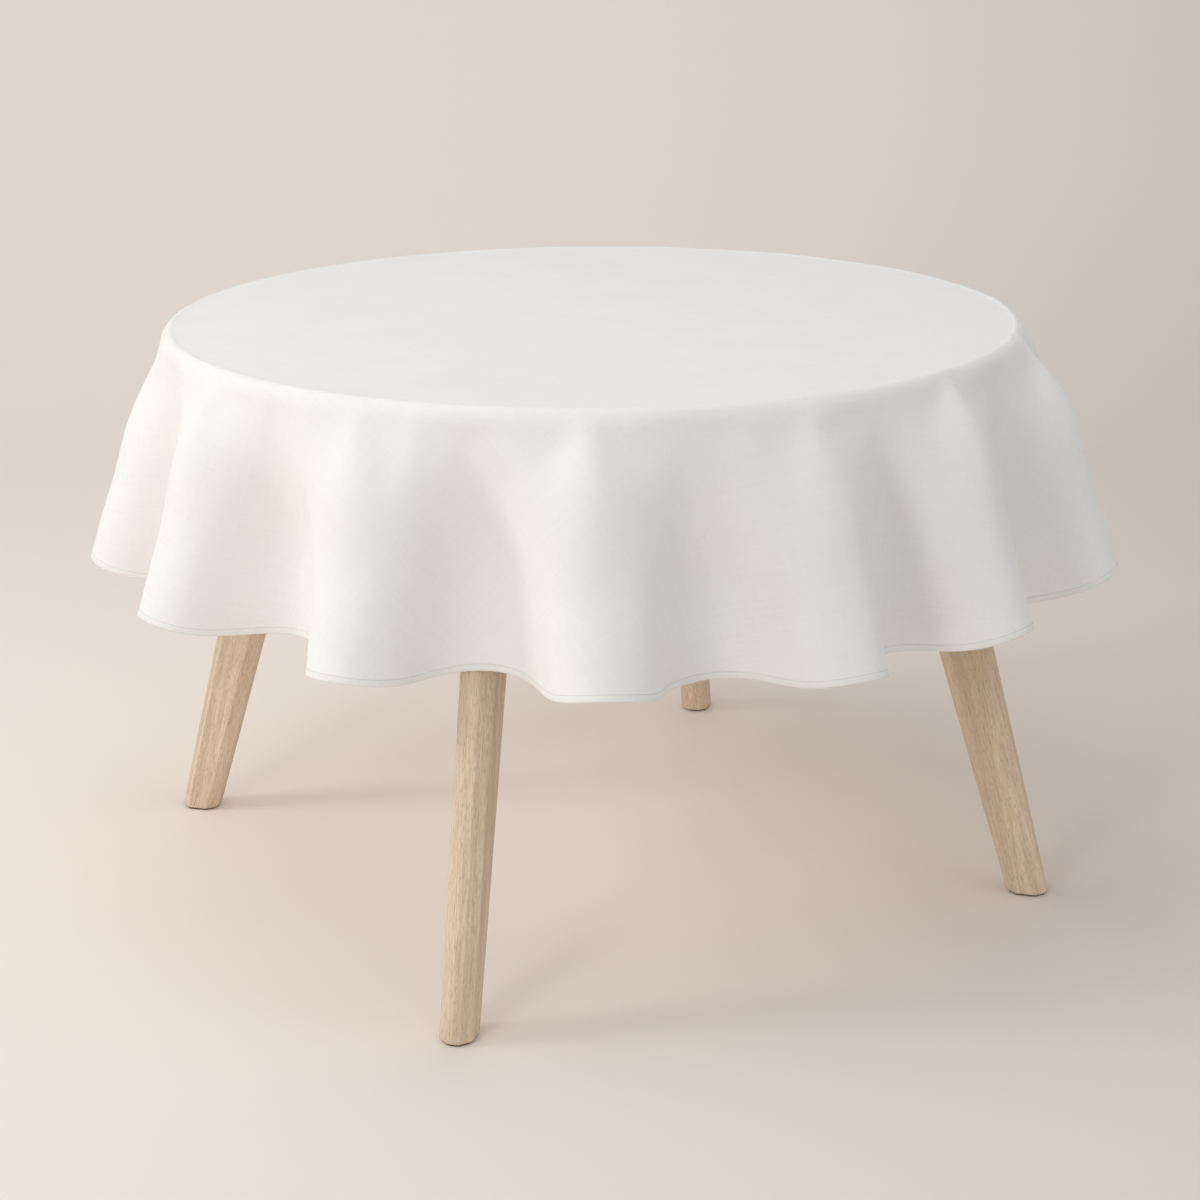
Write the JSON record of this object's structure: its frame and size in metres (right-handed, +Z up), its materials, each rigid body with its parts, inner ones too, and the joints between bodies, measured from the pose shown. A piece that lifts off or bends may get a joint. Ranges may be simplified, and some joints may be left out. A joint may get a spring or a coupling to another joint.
{
  "type": "draped round table",
  "caption": "Round tablecloth with a stitched hem, draped in soft flutes over a round table on splayed, tapered wooden legs.",
  "frame": {"origin": "on the floor under the middle of the round top", "axes": "+Z up; the four legs stand on the diagonals of +X and +Y, the foot nearest the usual view at -X, -Y"},
  "size_m": [1.3079, 1.2994, 0.745],
  "materials": {
    "oak": "matt oiled, bleached",
    "board": "matt veneer",
    "dowel": "plain",
    "steel": "zinc plated",
    "glide": "matt",
    "linen": "plain weave, matt",
    "linen_hem": "plain weave, matt",
    "thread": "matt"
  },
  "bodies": {
    "table": {"leg_front_left": "oak", "leg_front_right": "oak", "leg_back_right": "oak", "leg_back_left": "oak", "foot_glide_front_left": "glide", "foot_glide_front_right": "glide", "foot_glide_back_right": "glide", "foot_glide_back_left": "glide", "rail_front_left_to_back_right": "oak", "rail_front_right_to_back_left": "oak", "glide_nails": "steel", "leg_bolts": "steel", "bolt_washers": "steel", "barrel_nuts": "steel", "leg_dowels": "dowel", "top_brackets": "steel", "bracket_screws": "steel", "top_core": "board", "top_edge_lipping": "oak"},
    "tablecloth": {"tablecloth_panel": "linen", "tablecloth_hem": "linen_hem", "hem_stitching": "thread"}
  },
  "joints": [
    {"name": "cloth_lift", "type": "slide", "parent": "table", "child": "tablecloth", "axis": [0, 0, 1], "range_m": [0, 0.35]}
  ]
}
